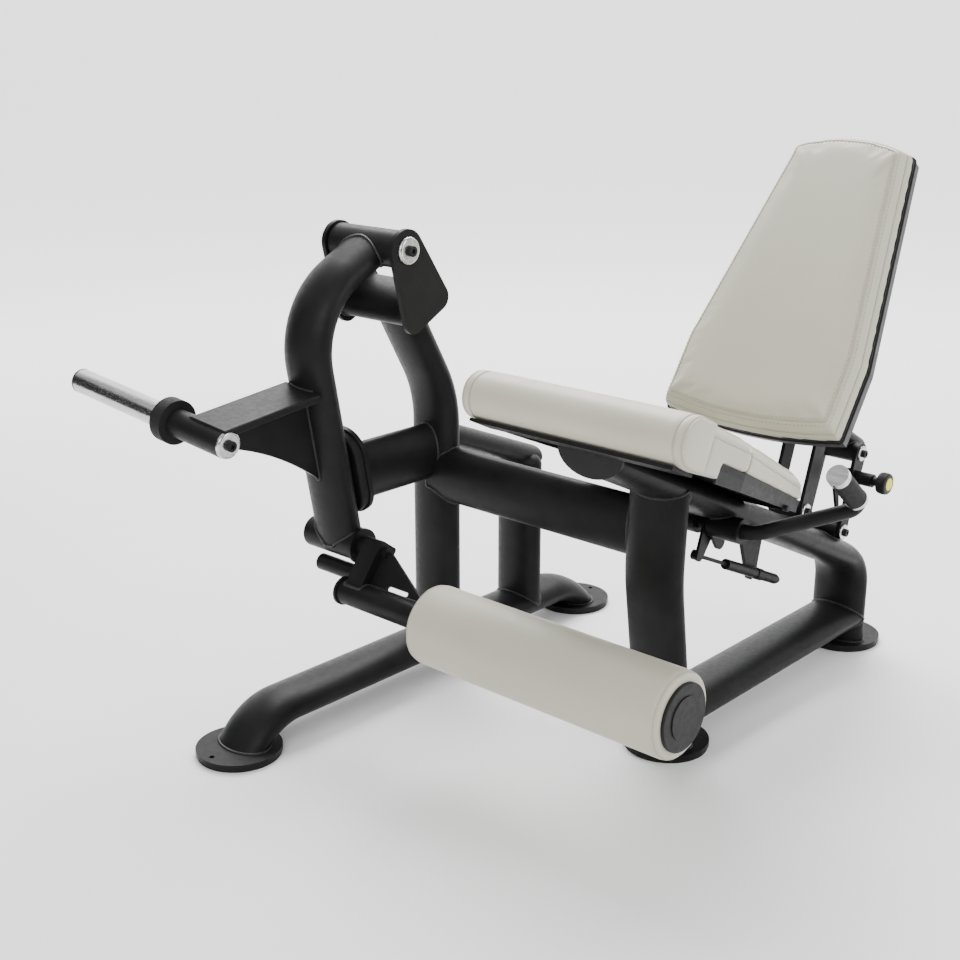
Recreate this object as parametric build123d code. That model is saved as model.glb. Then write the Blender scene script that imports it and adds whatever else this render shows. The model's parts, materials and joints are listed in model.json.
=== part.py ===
from build123d import *
from math import atan2, cos, degrees, hypot, radians, sin
import os

# Plate-loaded leg extension machine, in millimetres, +Z up.
# The model is drawn with X = 0 in the plane of the left base rail and the lever
# arm, Y = 0 at the centre of the front left foot, and Z = 0 on the floor.
# The user sits over the right rail and faces -Y.
# At export everything moves so that the origin is the bottom centre of the whole
# machine's bounding box.

# ---- driving dimensions ----
SEAT_X = 596.0               # plane of the seat, the right rail and the roller
TUBE_WALL = 4.0
DOME_ANGLE = 75               # how far a domed cap curves over before its flat top
LEFT_WIDE, LEFT_THIN = 122.0, 61.0       # oval tube of the left side
REAR_WIDE, REAR_THIN = 120.0, 60.0       # oval tube of the left rear upright
RIGHT_WIDE, RIGHT_THIN = 128.0, 62.0     # oval tube of the right side
ARM_WIDE, ARM_THIN = 116.0, 66.0         # oval tube of the lever arm

# Floor feet: steel disc on a rubber pad, each with one anchor hole
PAD_RADIUS, PAD_TOP = 83.0, 6.0
DISC_RADIUS, DISC_TOP = 85.0, 16.0
ANCHOR_RADIUS, ANCHOR_OUT = 5.5, 67.0
FEET = {
    "front_left": (0.0, 0.0, -1),
    "rear_left": (0.0, 1041.0, 1),
    "front_right": (SEAT_X, 594.0, -1),
    "rear_right": (SEAT_X, 1290.0, 1),
}

# Left frame (Y, Z) of the tube centre lines
RAIL_Z = 67.0
RAIL_FRONT, RAIL_REAR = 55.0, 986.0
RAIL_FOOT_STEP = 43.0
RAIL_BEND = 130.0
UPRIGHT_Y, UPRIGHT_KNEE_Z, UPRIGHT_BEND = 562.0, 624.0, 250.0
UPRIGHT_END = (450.0, 823.0)
REAR_UPRIGHT_Y, REAR_UPRIGHT_TOP, REAR_DOME = 835.0, 410.0, 28.0
BRACE_FRONT_Z, BRACE_END = 538.0, (866.0, 416.0)
BRACE_WIDE, BRACE_THIN = 80.0, 50.0
BEAM_Y, BEAM_Z = 558.0, 452.0

# Right frame
RIGHT_RAIL_Z = 73.0
RIGHT_UPRIGHT_TOP, RIGHT_UPRIGHT_WAIST = (540.0, 575.0), (531.0, 370.0)
RIGHT_UPRIGHT_FOOT, RIGHT_UPRIGHT_BEND = (583.0, DISC_TOP), 400.0
REAR_LEG_Y, REAR_LEG_KNEE_Z, REAR_LEG_BEND = 1268.0, 209.4, 92.0
TUBE_END_Y = 332.0           # vertical cut at the front of the seat tube
END_PLATE_HALF, END_PLATE_THICK = 71.0, 6.0
END_PLATE_LOW, END_PLATE_HIGH = 615.0, 662.0

# Lever arm
PIVOT = (386.0, 950.0)
PIVOT_HALF = 90.0            # inner faces of the two pivot plates
PLATE_THICK = 10.0
HOUSING_RADIUS, HOUSING_HALF = 36.5, 86.0
SHAFT_RADIUS = 15.0
CROSS_MEMBER, CROSS_TILT = (434.0, 837.0), 28.8
CROSS_WIDE, CROSS_THIN = 118.0, 58.0
ARM_KNEE, ARM_END, ARM_BEND = (194.5, 851.0), (281.0, 370.0), 165.0
RUNNING_FIT = 0.05

# Arm stop
STOP_Z = 500.0
STOP_PLATE_TALL, STOP_PLATE_WIDE, STOP_PLATE_THICK = 184.0, 110.0, 10.0
BUMPER_THICK, BUMPER_GAP = 18.0, 0.4

# Weight horn
HORN_ORIGIN = (40.0, -20.0, 641.0)
HORN_TILT = 5.3
HORN_TUBE_RADIUS, HORN_TUBE_END = 27.0, 175.0
HORN_RADIUS, HORN_END = 24.5, 455.0
COLLAR_RADIUS, COLLAR_LENGTH = 43.0, 29.0
BRACKET_HALF, BRACKET_THICK, BRACKET_SLOPE = 52.0, 16.0, 6.4
BRACKET_TOP = (0.0, -30.0, 675.0)

# Ankle carrier and roller
ANKLE_TUBE, ANKLE_TUBE_RADIUS, ANKLE_TUBE_START = (224.0, 294.0), 25.5, 75.0
ANKLE_SHAFT_RADIUS, ANKLE_SHAFT_END = 13.0, 142.0
END_HOUSING_RADIUS, END_HOUSING_LEFT, END_HOUSING_RIGHT = 32.0, -76.0, 68.0
LINK_LEFT, LINK_RIGHT, LINK_HALF, LINK_TOP = 88.0, 131.0, 24.0, 20.0
STOP_ROD, STOP_ROD_RADIUS, STOP_ROD_END = (266.0, 315.0), 17.0, -40.0
GUSSET_TOE, GUSSET_SLOT = (284.0, 25.0), (203.0, 33.0)
ROLLER_HALF, ROLLER_RADIUS, ROLLER_BORE = 282.0, 77.5, 32.0

# Seat, in its own plane: "along" runs down to the rear, "above" is square to it
SEAT_SLOPE = 25.4
SEAT_ORIGIN = (300.0, 730.0)
ROLL_RADIUS, ROLL_BACK, ROLL_HALF = 46.0, 40.0, 242.0
PAD_TOP_FACE = 46.0
MIDDLE_END, MIDDLE_HALF, MIDDLE_SKIRT_END = 178.0, 239.0, 92.0
SKIRT_LOW, PAD_CHAMFER = -41.0, 22.0
REAR_START, REAR_WAIST, REAR_END = 179.0, 443.0, 532.0
REAR_HALF_FRONT, REAR_HALF_WAIST, REAR_HALF_END = 237.0, 207.0, 105.0
BOARD_TOP, BOARD_LOW = -12.0, -24.0
PAN_INSET, PAN_WALL = 5.0, 4.0
PAN_DEPTH_FRONT, PAN_DEPTH_REAR = 23.0, 8.0

# Backrest, in its own plane: "up" the back and "behind" the front seam
BACK_BASE = (799.0, 639.0)
RECLINE = 35.0
BACK_HALF_LOW, BACK_WAIST, BACK_HALF_TOP = 184.0, 148.0, 114.0
BACK_SHOULDER, BACK_ARCH, BACK_BOTTOM_ARCH = 595.0, 20.0, 20.0
BACK_BOTTOM = 15.0
BACK_GROW, BACK_BEVEL = 16.0, 28.0
BACK_PAD_THICK, BACK_SHELL_THICK = 54.0, 38.0
SHELL_WALL, SHELL_BEVEL = 4.0, 12.0
SPINE_WIDE, SPINE_THIN, SPINE_BEND, SPINE_TOP, SPINE_DOME = 60.0, 40.0, 70.0, 450.0, 12.0
SPINE_REAR = (1270.0, 473.0)
SPINE_KNEE = (945.0, 652.3)

# Backrest parallelogram: front and rear, lower pivot on the frame
FRONT_LOW, REAR_LOW = (1014.0, 389.0), (1163.0, 306.0)
LINK_VECTOR = (57.0, 166.0)
FRONT_HIGH = (FRONT_LOW[0] + LINK_VECTOR[0], FRONT_LOW[1] + LINK_VECTOR[1])
REAR_HIGH = (REAR_LOW[0] + LINK_VECTOR[0], REAR_LOW[1] + LINK_VECTOR[1])
FRONT_LINK_IN, REAR_LINK_IN, LINK_THICK = 31.0, 42.0, 8.0
FRONT_BOSS_HALF, REAR_BOSS_HALF = 30.0, 41.0
LINK_BOLT_RADIUS = 8.0
OPEN_PIVOT_CLEARANCE = 0.4
SECTOR_IN, SECTOR_THICK = 34.0, 6.0
SECTOR_INNER, SECTOR_OUTER = 108.0, 140.0
PLUNGER = (1203.0, 422.0)
PIN_RADIUS, PIN_NOSE = 5.0, 41.5
HOLE_STEP = 9

# Seat side handles and their gas spring
HANDLE_AXIS = (700.0, 438.0)
HANDLE_TUBE_RADIUS, HANDLE_BEND = 15.0, 45.0
SLEEVE_RADIUS, SLEEVE_BORE, SLEEVE_IN, SLEEVE_OUT = 25.0, 20.0, 14.0, 84.0
HANDLE_KNEE_X = 106.0
HANDLE_GRIP_X = 234.0
GRIP_LOW, GRIP_HIGH = (857.0, 497.0), (776.0, 563.0)
GRIP_LEAD, GRIP_BEND = 34.0, 18.0       # bend that turns the tube into each grip
GRIP_RADIUS, TRIM_RADIUS = 21.0, 22.0
CRANK_EYE = (667.0, 379.0)
CYLINDER_PIVOT = (903.0, 271.0)
CYLINDER_RADIUS, ROD_RADIUS = 11.0, 4.0
CYLINDER_FRONT, CYLINDER_REAR = 138.0, 76.0
CRANK_PIN_RADIUS, ROD_EYE_BORE = 4.0, 5.6


# ---- places and planes ----
def side_plane(x):
    """Plane square to X whose sketch coordinates are (Y, Z)."""
    return Plane(origin=(x, 0, 0), x_dir=(0, 1, 0), z_dir=(1, 0, 0))


def seat_yz(along, above):
    """Y and Z of a point given along the seat and above its reference line."""
    c, s = cos(radians(SEAT_SLOPE)), sin(radians(SEAT_SLOPE))
    return SEAT_ORIGIN[0] + c * along + s * above, SEAT_ORIGIN[1] - s * along + c * above


def seat_plane(above):
    """Plane along the seat: sketch x is across from its middle, y is along it."""
    y, z = seat_yz(0, above)
    tilt = radians(SEAT_SLOPE)
    return Plane(origin=(SEAT_X, y, z), x_dir=(1, 0, 0), z_dir=(0, sin(tilt), cos(tilt)))


def seat_block(half, along, above):
    """Block across the seat between two places along it and two heights."""
    sketch = Pos((0, sum(along) / 2)) * Rectangle(2 * half, along[1] - along[0])
    return extrude(seat_plane(above[0]) * sketch, above[1] - above[0])


def back_yz(up, behind):
    """Y and Z of a point given up the backrest and behind its front seam."""
    c, s = cos(radians(RECLINE)), sin(radians(RECLINE))
    return BACK_BASE[0] + s * up + c * behind, BACK_BASE[1] + c * up - s * behind


def back_plane(behind):
    """Plane along the backrest that faces its user: sketch y runs up it."""
    y, z = back_yz(0, behind)
    tilt = radians(RECLINE)
    return Plane(origin=(SEAT_X, y, z), x_dir=(1, 0, 0), z_dir=(0, -cos(tilt), sin(tilt)))


def horn_plane(distance):
    """Plane square to the weight horn, whose normal points to the horn's tip."""
    tilt = radians(HORN_TILT)
    toward = Vector(-cos(tilt), 0, sin(tilt))
    return Plane(origin=Vector(*HORN_ORIGIN) + toward * distance, x_dir=(0, 1, 0), z_dir=toward)


# ---- shapes used many times ----
def ring(radius, bore):
    return Circle(radius) - Circle(bore) if bore else Circle(radius)


def x_rod(centre, radius, x_low, x_high, bore=0.0):
    """Round bar or tube along X."""
    sketch = Pos(centre) * ring(radius, bore)
    return extrude(side_plane(x_low) * sketch, x_high - x_low)


def x_plate(sketch, x_low, x_high):
    """Plate square to X with an outline drawn in (Y, Z)."""
    return extrude(side_plane(x_low) * sketch, x_high - x_low)


def hull_of(*circles):
    """Outline round several circles, each given as (y, z, radius)."""
    edges = [edge for y, z, r in circles for edge in (Pos((y, z)) * Circle(r)).edges()]
    return make_hull(edges)


def yz_path(points, x, bend):
    """Path in a plane square to X through (Y, Z) points, with round bends."""
    return FilletPolyline(*[(x, y, z) for y, z in points], radius=bend)


def oval_tube(path, wide, thin, wall=TUBE_WALL):
    """Oval tube with its wide axis along X: its full body and its wall."""
    start = Plane(origin=path @ 0, x_dir=(1, 0, 0), z_dir=path % 0)
    outer = sweep(start * Ellipse(wide / 2, thin / 2), path=path)
    inner = sweep(start * Ellipse(wide / 2 - wall, thin / 2 - wall), path=path)
    return outer, outer - inner


def oval_ring(wide, thin, wall=TUBE_WALL):
    """Section of an oval tube."""
    return Ellipse(wide / 2, thin / 2) - Ellipse(wide / 2 - wall, thin / 2 - wall)


def straight_oval(start, end, x, wide, thin):
    """Straight oval tube between two (Y, Z) points."""
    return oval_tube(Line((x, *start), (x, *end)), wide, thin)


def above_floor(shape, level=DISC_TOP):
    """The part of a shape that is above a level."""
    cutter = Pos((SEAT_X / 2, 650, level - 100)) * Box(2000, 3000, 200)
    return shape - cutter


def extend(start, end, more):
    """Point further out past end, on the line from start."""
    run = hypot(end[0] - start[0], end[1] - start[1])
    return (end[0] + (end[0] - start[0]) * more / run, end[1] + (end[1] - start[1]) * more / run)


def group(*shapes):
    """Separate solids kept in one node."""
    return Compound([solid for shape in shapes for solid in shape.solids()])


def coped(shape, *others):
    """A member cut to fit against others, without the offcuts."""
    for other in others:
        shape -= other
    return shape.solids().sort_by(SortBy.VOLUME)[-1]


# ---- floor feet ----
def foot_layer(radius, low, high):
    shapes = []
    for x, y, outward in FEET.values():
        sketch = Circle(radius) - Pos((0, outward * ANCHOR_OUT)) * Circle(ANCHOR_RADIUS)
        shapes.append(Pos((x, y, low)) * extrude(sketch, high - low))
    return group(*shapes)


# ---- left frame ----
def left_rail_bodies():
    foot_z = RAIL_Z - 51.0
    front_foot = extend((RAIL_FRONT, RAIL_Z), (RAIL_FRONT - RAIL_FOOT_STEP, foot_z), 40)
    rear_foot = extend((RAIL_REAR, RAIL_Z), (RAIL_REAR + RAIL_FOOT_STEP, foot_z), 40)
    points = [front_foot, (RAIL_FRONT, RAIL_Z), (RAIL_REAR, RAIL_Z), rear_foot]
    outer, wall = oval_tube(yz_path(points, 0, RAIL_BEND), LEFT_WIDE, LEFT_THIN)
    return outer, above_floor(wall)


def left_front_upright_bodies():
    points = [(UPRIGHT_Y, RAIL_Z), (UPRIGHT_Y, UPRIGHT_KNEE_Z), UPRIGHT_END]
    return oval_tube(yz_path(points, 0, UPRIGHT_BEND), LEFT_WIDE, LEFT_THIN)


def left_rear_upright_bodies():
    low, high = (REAR_UPRIGHT_Y, RAIL_Z), (REAR_UPRIGHT_Y, REAR_UPRIGHT_TOP)
    return straight_oval(low, high, 0, REAR_WIDE, REAR_THIN)


def oval_dome(plane, wide, thin, height):
    """Rounded cap on the end of an oval tube, with a small flat at its top."""
    sections = []
    for angle in range(0, DOME_ANGLE + 1, DOME_ANGLE // 5):
        share = cos(radians(angle))
        level = height * sin(radians(angle)) / sin(radians(DOME_ANGLE))
        sections.append(plane.offset(level) * Ellipse(wide / 2 * share, thin / 2 * share))
    return loft(sections)


def left_brace_bodies():
    """Brace over the top of the rear upright, with its rear end closed."""
    start = (UPRIGHT_Y, BRACE_FRONT_Z)
    outer, wall = straight_oval(start, BRACE_END, 0, BRACE_WIDE, BRACE_THIN)
    open_end = straight_oval(start, extend(start, BRACE_END, -TUBE_WALL), 0, BRACE_WIDE, BRACE_THIN)[0]
    return outer, wall + (outer - open_end)


def main_beam_body():
    start = Plane(origin=(0, BEAM_Y, BEAM_Z), x_dir=(0, 0, 1), z_dir=(1, 0, 0))
    return extrude(start * oval_ring(LEFT_WIDE, LEFT_THIN), SEAT_X)


def stop_frame():
    """Point on the arm's rear face at the stop's height, and the way along the arm."""
    dy, dz = ARM_END[0] - ARM_KNEE[0], ARM_END[1] - ARM_KNEE[1]
    run = hypot(dy, dz)
    down = (dy / run, dz / run)
    rearward = (-down[1], down[0])
    share = (STOP_Z - ARM_KNEE[1]) / dz
    centre_y = ARM_KNEE[0] + share * dy
    face = (centre_y + rearward[0] * ARM_THIN / 2, STOP_Z + rearward[1] * ARM_THIN / 2)
    return face, down, rearward


def stop_slab(tall, wide, start, thick, round_off=0.0):
    """Obround slab parallel to the arm, from start to start + thick behind its face."""
    face, down, rearward = stop_frame()
    origin = (0, face[0] + rearward[0] * start, face[1] + rearward[1] * start)
    plane = Plane(origin=origin, x_dir=(0, *down), z_dir=(0, *rearward))
    slab = extrude(plane * SlotOverall(tall, wide), thick)
    if round_off:
        near_face = slab.faces().sort_by(Axis(origin, (0, *rearward)))[0]
        slab = fillet(near_face.edges(), round_off)
    return slab


def stop_stub_body(section):
    start = Plane(origin=(0, UPRIGHT_Y, STOP_Z), x_dir=(0, 0, 1), z_dir=(0, -1, 0))
    reach = UPRIGHT_Y - stop_frame()[0][0]
    tube = extrude(start * section, reach)
    behind_plate = stop_slab(600, 400, -60, 60 + BUMPER_GAP + BUMPER_THICK + STOP_PLATE_THICK)
    return tube - behind_plate


# ---- right frame ----
def right_upright_bodies():
    low = extend(RIGHT_UPRIGHT_WAIST, RIGHT_UPRIGHT_FOOT, 30)
    path = yz_path([RIGHT_UPRIGHT_TOP, RIGHT_UPRIGHT_WAIST, low], SEAT_X, RIGHT_UPRIGHT_BEND)
    outer, wall = oval_tube(path, RIGHT_WIDE, RIGHT_THIN)
    return outer, above_floor(wall)


def right_rail_bodies():
    ends = [(RIGHT_UPRIGHT_FOOT[0], RIGHT_RAIL_Z), (REAR_LEG_Y, RIGHT_RAIL_Z)]
    return straight_oval(*ends, SEAT_X, RIGHT_WIDE, RIGHT_THIN)


def seat_tube_bodies():
    centre = BOARD_LOW - RIGHT_THIN / 2
    points = [seat_yz(20, centre), (REAR_LEG_Y, REAR_LEG_KNEE_Z), (REAR_LEG_Y, 0)]
    outer, wall = oval_tube(yz_path(points, SEAT_X, REAR_LEG_BEND), RIGHT_WIDE, RIGHT_THIN)
    front_cut = Pos((SEAT_X, TUBE_END_Y - 100, 660)) * Box(200, 200, 300)
    roll_room = seat_block(200, (-60, ROLL_BACK), (-52, 60))
    return outer, above_floor(wall - front_cut - roll_room)


def seat_tube_end_plate():
    plane = Plane(origin=(SEAT_X, TUBE_END_Y, 0), x_dir=(1, 0, 0), z_dir=(0, -1, 0))
    lower = Pos((0, END_PLATE_HIGH)) * Ellipse(END_PLATE_HALF, END_PLATE_HIGH - END_PLATE_LOW)
    band = Pos((0, (END_PLATE_HIGH + END_PLATE_LOW) / 2))
    sketch = lower & band * Rectangle(2 * END_PLATE_HALF, END_PLATE_HIGH - END_PLATE_LOW)
    return extrude(plane * sketch, END_PLATE_THICK) - roll_support_plate()


# ---- arm pivot on the frame ----
def cross_member(section):
    """Oval member between the pivot plates, tilted like their lower edge."""
    plane = side_plane(-PIVOT_HALF) * Pos(CROSS_MEMBER) * Rot(0, 0, CROSS_TILT)
    return extrude(plane * section, 2 * PIVOT_HALF)


def pivot_plate(x_low):
    outline = hull_of((*PIVOT, 41), (472, 848, 26), (403, 810, 25))
    outline -= Pos(PIVOT) * Circle(SHAFT_RADIUS)
    return x_plate(outline, x_low, x_low + PLATE_THICK)


def domed_bolt(centre, x_face, side, washer_radius, washer_thick, head_radius, head_long):
    """Domed washer and socket-head bolt on a face that looks along side (+1 or -1)."""
    plane = Plane(origin=(x_face, *centre), x_dir=(0, 1, 0), z_dir=(side, 0, 0))
    washer = extrude(plane * Circle(washer_radius), washer_thick)
    outer_face = washer.faces().sort_by(Axis(plane.origin, plane.z_dir))[-1]
    washer = fillet(outer_face.edges(), washer_thick * 0.7)
    head_plane = plane.offset(washer_thick)
    head = extrude(head_plane * Circle(head_radius), head_long)
    socket = extrude(plane.offset(washer_thick + head_long) * RegularPolygon(head_radius * 0.55, 6),
                     -head_long * 0.6)
    return [washer, head - socket]


# ---- lever arm ----
def arm_tube_body():
    path = yz_path([PIVOT, ARM_KNEE, ARM_END], 0, ARM_BEND)
    outer, wall = oval_tube(path, ARM_WIDE, ARM_THIN)
    pivot_room = x_rod(PIVOT, HOUSING_RADIUS, -HOUSING_HALF, HOUSING_HALF)
    end_room = x_rod(ARM_END, END_HOUSING_RADIUS, END_HOUSING_LEFT, END_HOUSING_RIGHT)
    return outer, wall - pivot_room - end_room


def horn_rod(radius, start, end, bore=0.0):
    return extrude(horn_plane(start) * ring(radius, bore), end - start)


def horn_bracket_body(arm_outer, horn_outer):
    tilt, slope = radians(HORN_TILT), radians(BRACKET_SLOPE)
    x_dir = Vector(cos(tilt), 0, -sin(tilt))
    y_dir = Vector(0, cos(slope), sin(slope))
    plane = Plane(origin=BRACKET_TOP, x_dir=x_dir, z_dir=x_dir.cross(y_dir))
    reach = 280.0
    sketch = Pos((0, reach / 2)) * Rectangle(2 * BRACKET_HALF, reach)
    plate = extrude(plane * sketch, -BRACKET_THICK)
    plate = fillet(plate.edges().filter_by(Axis((0, 0, 0), y_dir), tolerance=2), 5)
    rear_cut = Pos((0, ARM_KNEE[0] + 150, 700)) * Box(200, 300, 300)
    return coped(plate, arm_outer, horn_outer, rear_cut)


def horn_gusset_body(arm_outer, horn_outer, bracket):
    lower = ThreePointArc((5, 622), (128, 573), (236, 500))
    rest = Polyline((236, 500), (236, 712), (-15, 690), (5, 622))
    web = x_plate(make_face([lower, rest]), 4, 12)
    above = extrude(Pos((0, 100, 0)) * Rectangle(400, 600), 200)
    return coped(web, arm_outer, horn_outer, bracket_cover(bracket, above))


def bracket_cover(bracket, above):
    """Everything from the bracket's underside upward."""
    shifted = [Pos((0, 0, step)) * bracket for step in (0, 14, 28)]
    return shifted[0] + shifted[1] + shifted[2] + Pos((0, 0, 706)) * above


def ring_pair(centre, radius, bore, spans):
    return group(*[x_rod(centre, radius, low, high, bore) for low, high in spans])


# ---- ankle carrier ----
def link_block_body():
    """Block from the ankle shaft down onto the ankle tube, saddle-cut at its foot."""
    dy, dz = ARM_END[0] - ANKLE_TUBE[0], ARM_END[1] - ANKLE_TUBE[1]
    tall = hypot(dy, dz) + LINK_TOP
    block = Pos((tall / 2, 0)) * RectangleRounded(tall, 2 * LINK_HALF, 6)
    outline = Pos(ANKLE_TUBE) * Rot(0, 0, degrees(atan2(dz, dy))) * block
    outline -= Pos(ARM_END) * Circle(ANKLE_SHAFT_RADIUS)
    return x_plate(outline, LINK_LEFT, LINK_RIGHT) - x_rod(ANKLE_TUBE, ANKLE_TUBE_RADIUS, 0, 400)


def gusset_body():
    dy, dz = ARM_END[0] - ANKLE_TUBE[0], ARM_END[1] - ANKLE_TUBE[1]
    run = hypot(dy, dz)
    up = Vector(0, dy / run, dz / run)
    normal = Vector(1, 0, 0).cross(up)
    plane = Plane(origin=(0, *ANKLE_TUBE), x_dir=(1, 0, 0), z_dir=normal)
    corners = [(LINK_RIGHT, 0), (LINK_RIGHT, run + 6), (150, run + 4), GUSSET_TOE, (GUSSET_TOE[0], 0)]
    sketch = make_face(Polyline(*corners, corners[0])) - Pos(GUSSET_SLOT) * SlotOverall(60, 10)
    web = extrude(plane * sketch, 5, both=True)
    shaft = x_rod(ARM_END, ANKLE_SHAFT_RADIUS, 0, ANKLE_SHAFT_END)
    tube = x_rod(ANKLE_TUBE, ANKLE_TUBE_RADIUS, 0, 400)
    return web - tube - shaft


def ankle_tube_body():
    end = SEAT_X + ROLLER_HALF - 1
    tube = x_rod(ANKLE_TUBE, ANKLE_TUBE_RADIUS, ANKLE_TUBE_START, end, ANKLE_TUBE_RADIUS - 4)
    cap = x_rod(ANKLE_TUBE, 29, ANKLE_TUBE_START - 6, ANKLE_TUBE_START)
    return tube + cap


def ankle_shaft_body():
    shaft = x_rod(ARM_END, ANKLE_SHAFT_RADIUS, END_HOUSING_LEFT - 1, ANKLE_SHAFT_END)
    collar = x_rod(ARM_END, 20, END_HOUSING_RIGHT + 1, LINK_LEFT)
    head = x_rod(ARM_END, 22, END_HOUSING_LEFT - 7, END_HOUSING_LEFT - 1)
    return shaft + collar + head


def roller_cap(side):
    """End cap of the roller with the hub that runs on the ankle tube."""
    face = SEAT_X + side * ROLLER_HALF
    plane = Plane(origin=(face, *ANKLE_TUBE), x_dir=(0, 1, 0), z_dir=(side, 0, 0))
    flange = extrude(plane * Circle(60), 6)
    flange = fillet(flange.faces().sort_by(Axis(plane.origin, plane.z_dir))[-1].edges(), 2)
    raised = extrude(plane.offset(6) * Circle(38), 2)
    hub = extrude(plane * Circle(ROLLER_BORE), -60)
    bore = extrude(plane.offset(-60) * Circle(ANKLE_TUBE_RADIUS + RUNNING_FIT), 60)
    cap = flange + raised + hub - bore
    if side < 0:
        cap -= extrude(plane * Circle(ANKLE_TUBE_RADIUS + RUNNING_FIT), 20)
    return cap


# ---- seat ----
def knee_roll_body():
    centre = seat_yz(0, 0)
    corners = [seat_yz(0, -ROLL_RADIUS), seat_yz(ROLL_BACK, -ROLL_RADIUS),
               seat_yz(ROLL_BACK, ROLL_RADIUS), seat_yz(0, ROLL_RADIUS)]
    outline = make_face(Polyline(*corners, corners[0])) + Pos(centre) * Circle(ROLL_RADIUS)
    roll = x_plate(outline, SEAT_X - ROLL_HALF, SEAT_X + ROLL_HALF)
    return roll - seat_block(ROLL_HALF + 10, (ROLL_BACK, ROLL_BACK + 20), (-60, 60))


def roll_support_plate():
    return seat_block(ROLL_HALF - 23, (-22, ROLL_BACK), (-52, -ROLL_RADIUS))


def bevel_top(shape, amount):
    top = shape.faces().sort_by(Axis((SEAT_X, *seat_yz(0, 0)), seat_plane(0).z_dir))[-1]
    return chamfer(top.edges(), amount)


def seat_middle_body():
    pad = seat_block(MIDDLE_HALF, (ROLL_BACK, MIDDLE_END), (BOARD_TOP, PAD_TOP_FACE))
    side_edges = pad.edges().filter_by(Axis((0, 0, 0), seat_plane(0).y_dir))
    top_sides = side_edges.sort_by(Axis((SEAT_X, *seat_yz(0, 0)), seat_plane(0).z_dir))[-2:]
    pad = chamfer(top_sides, PAD_CHAMFER)
    skirt = seat_block(MIDDLE_HALF, (ROLL_BACK, MIDDLE_SKIRT_END), (SKIRT_LOW, BOARD_TOP))
    return pad + (skirt - seat_block(72, (0, 300), (-60, BOARD_TOP)))


def rear_outline(inset=0.0, front=REAR_START):
    end, waist = REAR_END - inset, REAR_WAIST
    right = [(REAR_HALF_FRONT - inset, front), (REAR_HALF_WAIST - inset, waist),
             (REAR_HALF_END - inset * 0.5, end)]
    left = [(-x, y) for x, y in reversed(right)]
    return make_face(Polyline(*right, *left, right[0]))


def seat_rear_body():
    pad = extrude(seat_plane(BOARD_TOP) * rear_outline(), PAD_TOP_FACE - BOARD_TOP)
    slope_y, slope_z = seat_yz(REAR_START, PAD_TOP_FACE)
    end_y, end_z = seat_yz(REAR_END + 20, PAD_TOP_FACE - 15)
    top_y, top_z = seat_yz(REAR_END + 20, PAD_TOP_FACE + 40)
    wedge = Polyline((slope_y, slope_z), (end_y, end_z), (top_y, top_z), (slope_y, slope_z))
    return bevel_top(pad - x_plate(make_face(wedge), SEAT_X - 300, SEAT_X + 300), PAD_CHAMFER)


def seat_board_body():
    clear = MIDDLE_SKIRT_END + 1
    tongue = Pos((0, (ROLL_BACK + 1 + clear) / 2)) * Rectangle(140, clear - ROLL_BACK - 1)
    wide = Pos((0, (clear + REAR_START) / 2))
    wide *= Rectangle(2 * (REAR_HALF_FRONT - PAN_INSET), REAR_START - clear)
    outline = rear_outline(PAN_INSET, REAR_START - 1) + wide + tongue
    return extrude(seat_plane(BOARD_LOW) * outline, BOARD_TOP - BOARD_LOW)


def seat_pan_body():
    """Side skirt under the seat board, deeper at its front than at its rear."""
    front_edge = MIDDLE_SKIRT_END + 1
    outer = rear_outline(PAN_INSET, REAR_START - 1)
    inner = rear_outline(PAN_INSET + PAN_WALL, REAR_START - 1)
    half = REAR_HALF_FRONT - PAN_INSET
    middle = (front_edge + REAR_START) / 2
    run = REAR_START - front_edge
    outer += Pos((0, middle)) * Rectangle(2 * half, run)
    inner += Pos((0, middle - 1)) * Rectangle(2 * (half - PAN_WALL), run + 20)
    depth = PAN_DEPTH_FRONT
    wall = extrude(seat_plane(BOARD_LOW - depth) * (outer - inner), depth)
    low_front = seat_yz(front_edge - 40, BOARD_LOW - depth - 2)
    low_rear = seat_yz(REAR_END + 40, BOARD_LOW - depth - 20)
    high_rear = seat_yz(REAR_END, BOARD_LOW - PAN_DEPTH_REAR)
    wedge = make_face(Polyline(low_front, low_rear, high_rear, low_front))
    return wall - x_plate(wedge, SEAT_X - 300, SEAT_X + 300)


# ---- backrest ----
def back_outline(grow):
    low = BACK_HALF_LOW + grow
    top = BACK_HALF_TOP + grow * 0.9
    shoulder = BACK_SHOULDER + grow * 0.55
    foot = BACK_BOTTOM - grow
    right = Polyline((low, foot), (low, BACK_WAIST), (top, shoulder))
    arch = ThreePointArc((top, shoulder), (0, BACK_SHOULDER + BACK_ARCH + grow), (-top, shoulder))
    left = Polyline((-top, shoulder), (-low, BACK_WAIST), (-low, foot))
    bottom = ThreePointArc((-low, foot), (0, foot - BACK_BOTTOM_ARCH), (low, foot))
    return make_face([*right.edges(), *arch.edges(), *left.edges(), *bottom.edges()])


def back_loft(front_grow, front, rear_grow, rear):
    sections = [back_plane(front) * back_outline(front_grow), back_plane(rear) * back_outline(rear_grow)]
    return loft(sections, ruled=True)


def back_pad_body():
    front = back_loft(0, 0, BACK_GROW, BACK_BEVEL)
    return front + extrude(back_plane(BACK_PAD_THICK) * back_outline(BACK_GROW),
                           BACK_PAD_THICK - BACK_BEVEL)


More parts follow.
